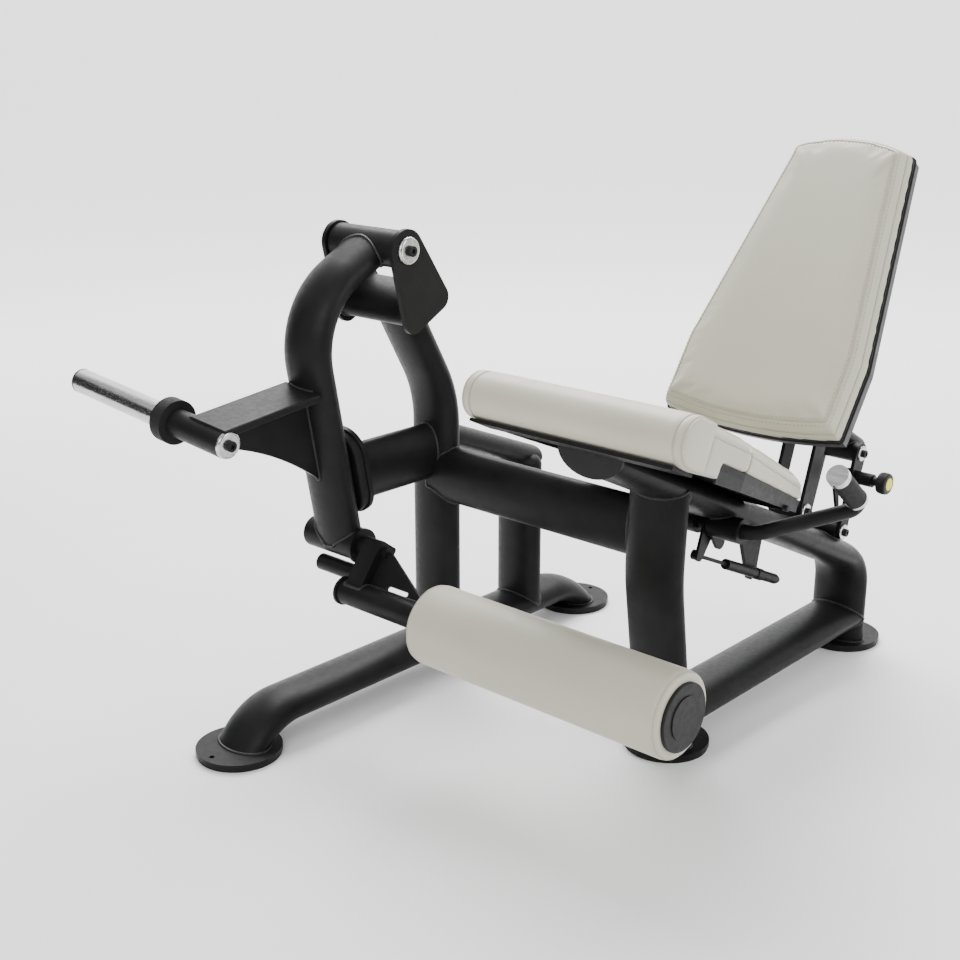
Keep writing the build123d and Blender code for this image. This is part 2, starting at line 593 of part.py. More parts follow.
def back_shell_body():
    """Dished shell behind the pad: straight sides, then a bevelled rear edge."""
    rear = BACK_PAD_THICK + BACK_SHELL_THICK
    bend = rear - SHELL_BEVEL
    rim, back = BACK_GROW - 1, BACK_GROW - SHELL_BEVEL
    sides = extrude(back_plane(bend) * back_outline(rim), bend - BACK_PAD_THICK)
    outer = sides + back_loft(rim, bend, back, rear)
    hollow = extrude(back_plane(bend) * back_outline(rim - SHELL_WALL), bend - BACK_PAD_THICK)
    hollow += back_loft(rim - SHELL_WALL, bend, back - SHELL_WALL, rear - SHELL_WALL)
    return outer - hollow


def spine_bodies():
    behind = BACK_PAD_THICK + BACK_SHELL_THICK + SPINE_THIN / 2
    points = [SPINE_REAR, SPINE_KNEE, back_yz(SPINE_TOP, behind)]
    return oval_tube(yz_path(points, SEAT_X, SPINE_BEND), SPINE_WIDE, SPINE_THIN, 3)


def spine_caps():
    along = Vector(0, SPINE_REAR[0] - SPINE_KNEE[0], SPINE_REAR[1] - SPINE_KNEE[1]).normalized()
    rear = Plane(origin=(SEAT_X, *SPINE_REAR), x_dir=(1, 0, 0), z_dir=along)
    behind = BACK_PAD_THICK + BACK_SHELL_THICK + SPINE_THIN / 2
    tilt = radians(RECLINE)
    top_origin = (SEAT_X, *back_yz(SPINE_TOP, behind))
    top = Plane(origin=top_origin, x_dir=(1, 0, 0), z_dir=(0, sin(tilt), cos(tilt)))
    return [oval_dome(plane, SPINE_WIDE, SPINE_THIN, SPINE_DOME) for plane in (rear, top)]


# ---- backrest links ----
def link_pair(low, low_radius, high, high_radius, inner, pin_hole=None):
    outline = hull_of((*low, low_radius), (*high, high_radius))
    outline -= Pos(low) * Circle(LINK_BOLT_RADIUS)
    outline -= Pos(high) * Circle(LINK_BOLT_RADIUS)
    left = x_plate(outline, SEAT_X - inner - LINK_THICK, SEAT_X - inner)
    if pin_hole:
        outline -= Pos(pin_hole) * Circle(PIN_RADIUS + RUNNING_FIT)
    return group(left, x_plate(outline, SEAT_X + inner, SEAT_X + inner + LINK_THICK))


def link_axles(centres, half):
    """Axle, washers and heads at each pivot of a pair of links."""
    shapes = []
    for centre in centres:
        shapes.append(x_rod(centre, LINK_BOLT_RADIUS, SEAT_X - half, SEAT_X + half))
        for side in (-1, 1):
            shapes += domed_bolt(centre, SEAT_X + side * half, side, 17, 4, 8, 7)
    return group(*shapes)


def front_boss_body():
    """Saddle boss for the front links, standing on the flat top of the seat tube."""
    drop = 40.0
    tilt = radians(SEAT_SLOPE)
    foot = (FRONT_LOW[0] - sin(tilt) * drop, FRONT_LOW[1] - cos(tilt) * drop)
    outline = hull_of((*FRONT_LOW, 19), (*foot, 19))
    outline -= Pos(FRONT_LOW) * Circle(LINK_BOLT_RADIUS + RUNNING_FIT)
    return x_plate(outline, SEAT_X - FRONT_BOSS_HALF, SEAT_X + FRONT_BOSS_HALF)


def sector_angle(y, z):
    return degrees(atan2(z - REAR_LOW[1], y - REAR_LOW[0]))


def pie(radius, start, end):
    """Slice of a disc about the rear lower pivot, between two angles."""
    def at(angle):
        return (REAR_LOW[0] + radius * cos(radians(angle)), REAR_LOW[1] + radius * sin(radians(angle)))
    rim = ThreePointArc(at(start), at((start + end) / 2), at(end))
    return make_face([rim, Line(at(end), REAR_LOW), Line(REAR_LOW, at(start))])


def sector_plate_body():
    parked = sector_angle(*PLUNGER)
    reach = hypot(PLUNGER[0] - REAR_LOW[0], PLUNGER[1] - REAR_LOW[1])
    low, high = parked - 18, parked + 36
    outline = pie(SECTOR_OUTER, low, high)
    outline -= pie(SECTOR_INNER, low + 9, high - 9) - Pos(REAR_LOW) * Circle(48)
    outline -= Pos(REAR_LOW) * Circle(22)
    for step in range(-1, 4):
        angle = radians(parked + step * HOLE_STEP)
        place = (REAR_LOW[0] + reach * cos(angle), REAR_LOW[1] + reach * sin(angle))
        outline -= Pos(place) * Circle(PIN_RADIUS + 0.6)
    return x_plate(outline, SEAT_X + SECTOR_IN, SEAT_X + SECTOR_IN + SECTOR_THICK)


def plunger_barrel_body():
    low, step, high = SEAT_X + REAR_LINK_IN + LINK_THICK, SEAT_X + 78, SEAT_X + 91
    inner = x_rod(PLUNGER, 14.5, low, step, PIN_RADIUS + RUNNING_FIT)
    return inner + x_rod(PLUNGER, 14.5, step, high, 10.3)


def plunger_pin_body():
    pin = x_rod(PLUNGER, PIN_RADIUS, SEAT_X + PIN_NOSE, SEAT_X + 92)
    return pin + x_rod(PLUNGER, 10, SEAT_X + 92, SEAT_X + 106)


def plunger_knob_body():
    plane = Plane(origin=(SEAT_X + 106, *PLUNGER), x_dir=(0, 1, 0), z_dir=(1, 0, 0))
    knob = extrude(plane * Circle(23), 22)
    knob = fillet(knob.edges(), 4)
    recess = extrude(plane.offset(20) * Circle(8), 4)
    button = extrude(plane.offset(20) * Circle(8), 2.5)
    return group(knob - recess, button)


# ---- handles ----
def handle_tube_body():
    """Steel tube through both sleeves, with an angled grip core on each end."""
    left, right = SEAT_X - HANDLE_KNEE_X, SEAT_X + HANDLE_KNEE_X
    ends = [SEAT_X - HANDLE_GRIP_X, SEAT_X + HANDLE_GRIP_X]
    elbow = extend(GRIP_HIGH, GRIP_LOW, GRIP_LEAD)
    points = [(ends[0], *GRIP_LOW), (ends[0], *elbow), (left, *HANDLE_AXIS), (right, *HANDLE_AXIS),
              (ends[1], *elbow), (ends[1], *GRIP_LOW)]
    path = FilletPolyline(*points, radius=[GRIP_BEND, HANDLE_BEND, HANDLE_BEND, GRIP_BEND])
    start = Plane(origin=path @ 0, z_dir=path % 0)
    tube = sweep(start * Circle(HANDLE_TUBE_RADIUS), path=path)
    for x in ends:
        tube += grip_rod(x, 9, -1, grip_length() - 6)
    return tube


def grip_length():
    return hypot(GRIP_HIGH[0] - GRIP_LOW[0], GRIP_HIGH[1] - GRIP_LOW[1])


def grip_rod(x, radius, start, end, bore=0.0):
    """Round bar along a grip, between two distances from its low end."""
    run = grip_length()
    along = Vector(0, (GRIP_HIGH[0] - GRIP_LOW[0]) / run, (GRIP_HIGH[1] - GRIP_LOW[1]) / run)
    origin = Vector(x, *GRIP_LOW) + along * start
    plane = Plane(origin=origin, x_dir=(1, 0, 0), z_dir=along)
    return extrude(plane * ring(radius, bore), end - start)


def crank_body():
    outline = hull_of((*HANDLE_AXIS, 23), (*CRANK_EYE, 11))
    outline -= Pos(HANDLE_AXIS) * Circle(HANDLE_TUBE_RADIUS)
    plate = x_plate(outline, SEAT_X + 6, SEAT_X + 12)
    return plate + x_rod(CRANK_EYE, CRANK_PIN_RADIUS, SEAT_X - 6, SEAT_X + 6)


def strut_direction():
    dy, dz = CYLINDER_PIVOT[0] - CRANK_EYE[0], CYLINDER_PIVOT[1] - CRANK_EYE[1]
    run = hypot(dy, dz)
    return Vector(0, dy / run, dz / run), run


def strut_rod(radius, start, end, bore=0.0):
    """Round bar along the gas spring, measured from the crank eye."""
    along, _ = strut_direction()
    origin = Vector(SEAT_X, *CRANK_EYE) + along * start
    plane = Plane(origin=origin, x_dir=(1, 0, 0), z_dir=along)
    return extrude(plane * ring(radius, bore), end - start)


def gas_cylinder_body():
    run = strut_direction()[1]
    tube = strut_rod(CYLINDER_RADIUS, run - CYLINDER_FRONT, run + CYLINDER_REAR)
    tube += strut_rod(12.5, run - 12, run + 12)
    tube += strut_rod(8, run + CYLINDER_REAR, run + CYLINDER_REAR + 10)
    trunnion = x_rod(CYLINDER_PIVOT, 5, SEAT_X - 26, SEAT_X)
    bore = strut_rod(ROD_RADIUS + RUNNING_FIT, run - CYLINDER_FRONT, run + CYLINDER_REAR - 20)
    return tube + trunnion - bore


def gas_rod_body():
    run = strut_direction()[1]
    rod = strut_rod(ROD_RADIUS, 8, run - 20)
    eye = x_rod(CRANK_EYE, 10, SEAT_X - 5, SEAT_X + 5)
    return rod + eye - x_rod(CRANK_EYE, ROD_EYE_BORE, SEAT_X - 20, SEAT_X + 20)


def strut_bracket_body():
    top = seat_yz(690, BOARD_LOW - RIGHT_THIN + 6)
    outline = hull_of((*CYLINDER_PIVOT, 16), (top[0] - 12, top[1], 22), (top[0] + 26, top[1] - 12, 22))
    outline -= Pos(CYLINDER_PIVOT) * Circle(5 + RUNNING_FIT)
    return x_plate(outline, SEAT_X - 22, SEAT_X - 13)


def handle_stop_body():
    outline = hull_of((*HANDLE_AXIS, 20), (722, 395, 14))
    return x_plate(outline, SEAT_X + 14, SEAT_X + 22)


def left_frame_nodes():
    rail_outer, rail = left_rail_bodies()
    upright_outer, upright = left_front_upright_bodies()
    rear_upright = left_rear_upright_bodies()[1]
    brace_outer, brace = left_brace_bodies()
    right_outer = right_upright_bodies()[0]
    seat_outer = seat_tube_bodies()[0]
    stub_outer = stop_stub_body(Ellipse(LEFT_WIDE / 2, LEFT_THIN / 2))
    cross_outer = cross_member(Ellipse(CROSS_WIDE / 2, CROSS_THIN / 2))
    rear_cap_plane = Plane(origin=(0, REAR_UPRIGHT_Y, REAR_UPRIGHT_TOP), x_dir=(1, 0, 0))
    rear_cap = oval_dome(rear_cap_plane, REAR_WIDE, REAR_THIN, REAR_DOME)
    return {
        "left_base_rail": rail,
        "left_front_upright": coped(upright, rail_outer, cross_outer),
        "left_rear_upright": coped(rear_upright, rail_outer, brace_outer),
        "left_brace": coped(brace, upright_outer),
        "main_cross_beam": coped(main_beam_body(), upright_outer, right_outer, stub_outer, seat_outer),
        "tube_end_caps": group(rear_cap - brace_outer, coped(seat_tube_end_plate(), knee_roll_body())),
        "stop_stub": coped(stop_stub_body(oval_ring(LEFT_WIDE, LEFT_THIN)), upright_outer),
        "stop_plate": stop_slab(STOP_PLATE_TALL, STOP_PLATE_WIDE, BUMPER_GAP + BUMPER_THICK,
                                STOP_PLATE_THICK),
        "stop_bumper": stop_slab(STOP_PLATE_TALL - 8, STOP_PLATE_WIDE - 8, BUMPER_GAP, BUMPER_THICK, 4),
    }


def right_frame_nodes():
    right_outer, right_upright = right_upright_bodies()
    seat_outer, seat_tube = seat_tube_bodies()
    right_rail = right_rail_bodies()[1]
    sleeves = group(*[x_rod(HANDLE_AXIS, SLEEVE_RADIUS, SEAT_X + low, SEAT_X + high, SLEEVE_BORE)
                      for low, high in ((-SLEEVE_OUT, -SLEEVE_IN), (SLEEVE_IN, SLEEVE_OUT))])
    sleeve_room = x_rod(HANDLE_AXIS, SLEEVE_RADIUS, SEAT_X - SLEEVE_OUT, SEAT_X + SLEEVE_OUT)
    rear_boss = x_rod(REAR_LOW, 22, SEAT_X - REAR_BOSS_HALF, SEAT_X + REAR_BOSS_HALF,
                      LINK_BOLT_RADIUS + RUNNING_FIT)
    return {
        "right_base_rail": coped(right_rail, right_outer, seat_outer),
        "foot_discs": foot_layer(DISC_RADIUS, PAD_TOP, DISC_TOP),
        "foot_pads": foot_layer(PAD_RADIUS, 0, PAD_TOP),
        "right_front_upright": coped(right_upright, seat_outer),
        "seat_tube": coped(seat_tube, sleeve_room),
        "handle_sleeves": sleeves,
        "handle_bushes": ring_pair(HANDLE_AXIS, SLEEVE_BORE, HANDLE_TUBE_RADIUS + RUNNING_FIT,
                                   [(SEAT_X + low, SEAT_X + high) for low, high in
                                    ((-84, -66), (-32, -14), (14, 32), (66, 84))]),
        "handle_brackets": group(coped(handle_stop_body(), sleeve_room, seat_outer),
                                 coped(strut_bracket_body(), seat_outer)),
        "link_bosses": group(front_boss_body() - seat_outer, rear_boss - seat_outer),
        "sector_plate": sector_plate_body() - seat_outer,
    }


def pivot_nodes():
    cross_tube = cross_member(oval_ring(CROSS_WIDE, CROSS_THIN))
    pivot_washers = [shape for side in (-1, 1)
                     for shape in domed_bolt(PIVOT, side * (PIVOT_HALF + PLATE_THICK), side, 27, 8, 10, 8)]
    return {
        "pivot_cross_tube": cross_tube,
        "pivot_plates": group(pivot_plate(-PIVOT_HALF - PLATE_THICK), pivot_plate(PIVOT_HALF)),
        "pivot_shaft": x_rod(PIVOT, SHAFT_RADIUS, -PIVOT_HALF - PLATE_THICK, PIVOT_HALF + PLATE_THICK),
        "pivot_bolts": group(*pivot_washers),
    }


def seat_nodes():
    seat_outer = seat_tube_bodies()[0]
    return {
        "seat_boards": group(seat_board_body(), roll_support_plate()),
        "seat_pan": group(*(seat_pan_body() - seat_outer).solids().sort_by(SortBy.VOLUME)[-2:]),
        "seat_knee_roll": knee_roll_body(),
        "seat_pad_middle": seat_middle_body(),
        "seat_pad_rear": seat_rear_body(),
    }


def arm_nodes():
    arm_outer, arm = arm_tube_body()
    horn_outer = horn_rod(HORN_TUBE_RADIUS, -20, HORN_TUBE_END)
    bracket = horn_bracket_body(arm_outer, horn_outer)
    tip = horn_rod(HORN_RADIUS - 0.7, HORN_END, HORN_END + 5)
    return {
        "arm_tube": arm,
        "arm_pivot_housing": x_rod(PIVOT, HOUSING_RADIUS, -HOUSING_HALF, HOUSING_HALF, 22),
        "arm_bushes": group(
            ring_pair(PIVOT, 22, SHAFT_RADIUS + RUNNING_FIT, [(-89, -56), (56, 89)]),
            ring_pair(ARM_END, 18, ANKLE_SHAFT_RADIUS + RUNNING_FIT,
                      [(END_HOUSING_LEFT, END_HOUSING_LEFT + 30),
                       (END_HOUSING_RIGHT - 30, END_HOUSING_RIGHT)])),
        "arm_end_housing": (x_rod(ARM_END, END_HOUSING_RADIUS, END_HOUSING_LEFT, END_HOUSING_RIGHT, 18)
                            + x_rod(ARM_END, 36, END_HOUSING_RIGHT - 8, END_HOUSING_RIGHT, 18)),
        "horn_base_tube": horn_rod(HORN_TUBE_RADIUS, 0, HORN_TUBE_END, HORN_TUBE_RADIUS - 5),
        "weight_horn_sleeve": horn_rod(HORN_RADIUS, HORN_TUBE_END, HORN_END, HORN_RADIUS - 3) + tip,
        "horn_collar": horn_rod(COLLAR_RADIUS, HORN_TUBE_END - COLLAR_LENGTH, HORN_TUBE_END,
                                HORN_TUBE_RADIUS),
        "horn_end_bolt": horn_end_bolt(),
        "horn_bracket": bracket,
        "horn_gusset": horn_gusset_body(arm_outer, horn_outer, bracket),
    }


def horn_end_bolt():
    cap_plane = horn_plane(0)
    cap = extrude(cap_plane * Circle(26.5), -8)
    outer_face = cap.faces().sort_by(Axis(cap_plane.origin, cap_plane.z_dir))[0]
    cap = fillet(outer_face.edges(), 5)
    bolt = extrude(horn_plane(-8) * Circle(10), -8)
    bolt -= extrude(horn_plane(-16) * RegularPolygon(5.5, 6), 5)
    return group(cap, bolt)


def ankle_nodes():
    return {
        "ankle_shaft": ankle_shaft_body(),
        "ankle_link_block": link_block_body(),
        "ankle_gusset": gusset_body(),
        "ankle_tube": ankle_tube_body(),
        "ankle_stop_rod": x_rod(STOP_ROD, STOP_ROD_RADIUS, STOP_ROD_END, LINK_LEFT),
        "roller_pad": x_rod(ANKLE_TUBE, ROLLER_RADIUS, SEAT_X - ROLLER_HALF, SEAT_X + ROLLER_HALF,
                            ROLLER_BORE),
        "roller_end_caps": group(roller_cap(-1), roller_cap(1)),
    }


def link_nodes():
    return {
        "gas_cylinder": gas_cylinder_body(),
        "gas_rod": gas_rod_body(),
        "rear_links": link_pair(REAR_LOW, 16, REAR_HIGH, 22, REAR_LINK_IN, PLUNGER),
        "rear_link_axles": link_axles((REAR_LOW, REAR_HIGH), REAR_LINK_IN + LINK_THICK),
        "plunger_barrel": plunger_barrel_body(),
        "front_links": link_pair(FRONT_LOW, 20, FRONT_HIGH, 21, FRONT_LINK_IN),
        "front_link_axles": link_axles((FRONT_LOW, FRONT_HIGH), FRONT_LINK_IN + LINK_THICK),
        "plunger": group(plunger_pin_body(), plunger_knob_body()),
    }


def backrest_nodes():
    spine = spine_bodies()[1]
    pivots, spine_room = [], []
    for centre, radius, half, clearance in ((REAR_HIGH, 21, REAR_BOSS_HALF, RUNNING_FIT),
                                            (FRONT_HIGH, 17, FRONT_BOSS_HALF, OPEN_PIVOT_CLEARANCE)):
        bore = LINK_BOLT_RADIUS + clearance
        pivots.append(x_rod(centre, radius, SEAT_X - half, SEAT_X + half, bore))
        spine_room.append(x_rod(centre, radius, SEAT_X - half, SEAT_X + half))
    return {
        "backrest_pad": back_pad_body(),
        "backrest_shell": back_shell_body(),
        "backrest_spine": group(spine - spine_room[0] - spine_room[1], *spine_caps()),
        "backrest_pivots": group(*pivots),
    }


def handle_nodes():
    handle = handle_tube_body() + crank_body()
    grips, trims = [], []
    length = grip_length()
    for side in (-1, 1):
        x = SEAT_X + side * HANDLE_GRIP_X
        grips.append(coped(grip_rod(x, GRIP_RADIUS, 8, length - 8), handle))
        trims.append(coped(grip_rod(x, TRIM_RADIUS, 0, 8), handle))
        trims.append(coped(grip_rod(x, TRIM_RADIUS, length - 8, length + 6), handle))
    return {"handle_tube": handle, "handle_grips": group(*grips), "handle_trim": group(*trims)}


def build():
    """All sub-parts, by node name, in the drawing frame."""
    return (left_frame_nodes() | right_frame_nodes() | pivot_nodes() | seat_nodes() | arm_nodes()
            | ankle_nodes() | link_nodes() | backrest_nodes() | handle_nodes())


NODES = build()
WHOLE = Compound([solid for shape in NODES.values() for solid in shape.solids()]).bounding_box()
SHIFT = Vector(-(WHOLE.min.X + WHOLE.max.X) / 2, -(WHOLE.min.Y + WHOLE.max.Y) / 2, -WHOLE.min.Z)

os.makedirs("parts", exist_ok=True)
for name, shape in NODES.items():
    export_step(shape.moved(Location(SHIFT)), f"parts/{name}.step")
print(len(NODES), "nodes, size", WHOLE.size, "shift", SHIFT)
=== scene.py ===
import json
import math

import bmesh
import bpy
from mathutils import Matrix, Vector
from mathutils.bvhtree import BVHTree
from mathutils.kdtree import KDTree


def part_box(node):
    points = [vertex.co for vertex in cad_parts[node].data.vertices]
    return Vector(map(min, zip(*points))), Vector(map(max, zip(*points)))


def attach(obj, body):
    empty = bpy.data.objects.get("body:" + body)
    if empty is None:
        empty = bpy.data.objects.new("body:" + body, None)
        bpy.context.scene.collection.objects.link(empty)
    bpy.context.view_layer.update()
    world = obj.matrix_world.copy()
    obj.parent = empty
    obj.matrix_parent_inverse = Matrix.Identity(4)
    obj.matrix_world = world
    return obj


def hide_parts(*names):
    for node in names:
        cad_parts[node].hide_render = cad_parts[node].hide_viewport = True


# Looks of the plate-loaded leg extension machine, in metres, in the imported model's frame.

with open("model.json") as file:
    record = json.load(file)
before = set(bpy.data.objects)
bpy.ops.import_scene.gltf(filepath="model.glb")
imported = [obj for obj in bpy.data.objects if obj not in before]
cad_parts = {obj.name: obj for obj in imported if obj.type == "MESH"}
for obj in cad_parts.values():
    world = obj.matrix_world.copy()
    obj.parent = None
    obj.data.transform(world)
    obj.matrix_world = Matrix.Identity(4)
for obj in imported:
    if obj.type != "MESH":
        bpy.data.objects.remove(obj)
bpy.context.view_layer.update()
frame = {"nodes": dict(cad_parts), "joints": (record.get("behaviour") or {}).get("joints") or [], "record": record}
NODES = frame["nodes"]
MM = 0.001

# ---- places read from the frame ----
JOINTS = {joint["name"]: joint for joint in frame["joints"]}


def joint_place(name):
    return Vector(JOINTS[name]["pos_m"])


ROLL_LOW, ROLL_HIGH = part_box("seat_knee_roll")
SEAT_X = (ROLL_LOW.x + ROLL_HIGH.x) / 2
ROLL_RADIUS = 46 * MM
SEAT_ORIGIN = Vector((SEAT_X, ROLL_LOW.y + ROLL_RADIUS, ROLL_HIGH.z - ROLL_RADIUS))
SEAT_SLOPE = math.radians(25.4)
RECLINE = math.radians(35.0)
BACK_ORIGIN = joint_place("backrest_keep_level") + Vector((0, -421 * MM, 167 * MM))
HORN = next(m for m in frame["record"]["mounts"] if m["name"] == "weight_horn")
HORN_MIDDLE, HORN_WAY = Vector(HORN["pos_m"]), Vector(HORN["axis"])

# Cushion sizes, in the seat's and the backrest's own planes
ROLL_BACK, MIDDLE_END = 40 * MM, 178 * MM
ROLL_SEAMS = (218, 235)              # mm to either side of the middle
MIDDLE_SEAMS = ((217, 46), (239, 24))    # mm across and above
REAR_CORNERS = ((237, 179), (207, 443), (105, 532))  # mm across and along
REAR_TOP, REAR_FALL = 46, 15 / 373   # mm above at the front, and the fall along the pad
ROLLER_CORE = 50 * MM                # the roller's cover is held inside this radius
BACK_LOW_HALF, BACK_TOP_HALF = 184 * MM, 114 * MM
BACK_FOOT, BACK_WAIST, BACK_SHOULDER = 15 * MM, 148 * MM, 595 * MM
BACK_ARCH, BACK_GROW, BACK_BEVEL, BACK_THICK = 20 * MM, 16 * MM, 28 * MM, 54 * MM

# Camera: place, heading and lens of the product view
CAMERA_PLACE = Vector((1.836, -2.211, 1.380))
CAMERA_HEADING = math.radians(42.4)
CAMERA_PITCH = math.radians(17.8)
CAMERA_LENS = 54.45

# Stage: floor, dark cards as X, low and high (Y, Z), and lamps as place, size and power
FLOOR_HALF, FLOOR_GLOW = 40.0, 1.1
GLOW_NEAR, GLOW_FAR = 1.6, 4.5       # the floor's glow grows between these distances
COVE_START, COVE_RADIUS, COVE_STEPS, WALL_TOP = 6.0, 3.0, 12, 12.0
WORLD_STRENGTH = 0.8
CARDS = [("card_left", -3.2, (-4.5, 0.0), (-0.8, 2.6)),
         ("card_right", 3.4, (-1.6, 0.0), (0.2, 2.2)),
         ("card_front", 4.6, (-6.0, 0.0), (-3.4, 2.4))]
LAMPS = [("key", (-1.3, 1.5, 3.8), (3.0, 3.0), 330), ("front", (1.6, -3.6, 2.8), (2.6, 1.6), 70),
         ("side", (3.6, 0.9, 2.2), (1.2, 2.8), 60)]
LAMP_TARGET = (0.1, 0.0, 0.5)


# ---- materials ----
def node_link(tree, source, output, target, socket):
    tree.links.new(source.outputs[output], target.inputs[socket])


def noise(tree, coords, scale, detail=4.0, stretch=None):
    """Noise in the object's own coordinates, optionally stretched along an axis."""
    source, output = coords, "Object"
    if stretch:
        mapping = tree.nodes.new("ShaderNodeMapping")
        mapping.inputs["Scale"].default_value = stretch
        node_link(tree, coords, "Object", mapping, "Vector")
        source, output = mapping, "Vector"
    texture = tree.nodes.new("ShaderNodeTexNoise")
    texture.inputs["Scale"].default_value = scale
    texture.inputs["Detail"].default_value = detail
    node_link(tree, source, output, texture, "Vector")
    return texture


def ramp(tree, source, output, low, high, colours):
    """Two-colour ramp between two positions of a source."""
    node = tree.nodes.new("ShaderNodeValToRGB")
    node.color_ramp.elements[0].position = low
    node.color_ramp.elements[1].position = high
    node.color_ramp.elements[0].color = (*colours[0], 1)
    node.color_ramp.elements[1].color = (*colours[1], 1)
    node_link(tree, source, output, node, "Fac")
    return node


def finish_material(name, colour, vary=0.12, rough=(0.4, 0.5), grain=(600, 0.1), patches=9.0,
                    metallic=0.0, stretch=None, sheen=0.0, leather=False, specular=0.5):
    """Procedural finish: mottled colour and roughness, and a fine surface grain as bump."""
    made = bpy.data.materials.new(name)
    made.use_nodes = True
    tree = made.node_tree
    shader = tree.nodes["Principled BSDF"]
    coords = tree.nodes.new("ShaderNodeTexCoord")
    mottle = noise(tree, coords, patches, 6.0, stretch)
    dark = tuple(c * (1 - vary) for c in colour)
    light = tuple(min(1.0, c * (1 + vary)) for c in colour)
    tint = ramp(tree, mottle, "Fac", 0.3, 0.7, (dark, light))
    node_link(tree, tint, "Color", shader, "Base Color")
    scuff = noise(tree, coords, patches * 7, 5.0, stretch)
    rough_low, rough_high = ((value,) * 3 for value in rough)
    rough_ramp = ramp(tree, scuff, "Fac", 0.35, 0.7, (rough_low, rough_high))
    node_link(tree, rough_ramp, "Color", shader, "Roughness")
    fine = noise(tree, coords, grain[0], 3.0, stretch)
    height, output = fine, "Fac"
    if leather:
        cells = tree.nodes.new("ShaderNodeTexVoronoi")
        cells.feature = "SMOOTH_F1"
        cells.inputs["Scale"].default_value = grain[0]
        node_link(tree, coords, "Object", cells, "Vector")
        blend = tree.nodes.new("ShaderNodeMath")
        blend.operation = "ADD"
        node_link(tree, cells, "Distance", blend, 0)
        node_link(tree, fine, "Fac", blend, 1)
        height, output = blend, "Value"
    bump = tree.nodes.new("ShaderNodeBump")
    bump.inputs["Strength"].default_value = grain[1]
    bump.inputs["Distance"].default_value = 0.4 * MM
    node_link(tree, height, output, bump, "Height")
    node_link(tree, bump, "Normal", shader, "Normal")
    shader.inputs["Metallic"].default_value = metallic
    shader.inputs["Sheen Weight"].default_value = sheen
    shader.inputs["Specular IOR Level"].default_value = specular
    return made


FINISHES = {
    "black_paint": finish_material("black_powder_coat", (0.009, 0.009, 0.0095), 0.25, (0.36, 0.48),
                                   (900, 0.25), 14.0, specular=0.12),
    "cream_vinyl": finish_material("cream_vinyl", (0.47, 0.455, 0.36), 0.03, (0.42, 0.52),
                                   (700, 0.22), 6.0, sheen=0.08, leather=True),
    "roller_vinyl": finish_material("cream_roller_vinyl", (0.47, 0.455, 0.36), 0.03, (0.42, 0.52),
                                    (700, 0.22), 6.0, sheen=0.08, leather=True),
    "grey_shell": finish_material("grey_shell_plastic", (0.035, 0.036, 0.038), 0.1, (0.42, 0.55),
                                  (500, 0.35), 12.0),
    "black_plastic": finish_material("black_plastic", (0.009, 0.009, 0.0095), 0.15, (0.42, 0.55),
                                     (450, 0.3), 12.0, specular=0.2),
    "black_rubber": finish_material("black_rubber", (0.011, 0.011, 0.011), 0.2, (0.6, 0.75),
                                    (380, 0.45), 16.0, specular=0.2),
    "bright_steel": finish_material("brushed_chrome", (0.56, 0.56, 0.57), 0.22, (0.16, 0.3),
                                    (300, 0.06), 10.0, metallic=1.0, stretch=(1, 9, 9)),
    "plain_steel": finish_material("turned_steel", (0.42, 0.42, 0.43), 0.08, (0.28, 0.4),
                                   (300, 0.1), 10.0, metallic=1.0, stretch=(9, 1, 1)),
    "yellow_plastic": finish_material("yellow_plastic", (0.75, 0.68, 0.03), 0.05, (0.35, 0.45),
                                      (400, 0.1), 20.0),
    "piping": finish_material("cream_piping", (0.40, 0.382, 0.31), 0.04, (0.42, 0.52),
                              (900, 0.2), 20.0),
    "weld": finish_material("painted_weld", (0.013, 0.013, 0.014), 0.3, (0.3, 0.42),
                            (700, 0.5), 40.0, specular=0.35),
    "seam_thread": finish_material("seam_thread", (0.33, 0.31, 0.25), 0.1, (0.6, 0.75),
                                   (900, 0.3), 60.0),
}


def dress_cad_nodes():
    """Gives every CAD node its slot's finish."""
    for part in frame["record"]["subparts"]:
        node = NODES[part["node"]]
        node.data.materials.clear()
        node.data.materials.append(FINISHES[part["material_slot"]])


def finish_piece(piece, body, finish, sharp=35):
    mesh = piece.data
    mesh.materials.clear()
    mesh.materials.append(FINISHES[finish])
    mesh.shade_smooth()
    mesh.set_sharp_from_angle(angle=math.radians(sharp))
    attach(piece, body)
    return piece


def link_mesh(name, mesh):
    piece = bpy.data.objects.new(name, mesh)
    bpy.context.scene.collection.objects.link(piece)
    return piece


def piece_from(build, name, body, finish, sharp=35):
    """Piece from a bmesh, with its normals made consistent."""
    bmesh.ops.recalc_face_normals(build, faces=build.faces)
    mesh = bpy.data.meshes.new(name)
    build.to_mesh(mesh)
    build.free()
    return finish_piece(link_mesh(name, mesh), body, finish, sharp)


def bridge(build, low, high):
    count = len(low)
    for i in range(count):
        build.faces.new((low[i], low[(i + 1) % count], high[(i + 1) % count], high[i]))


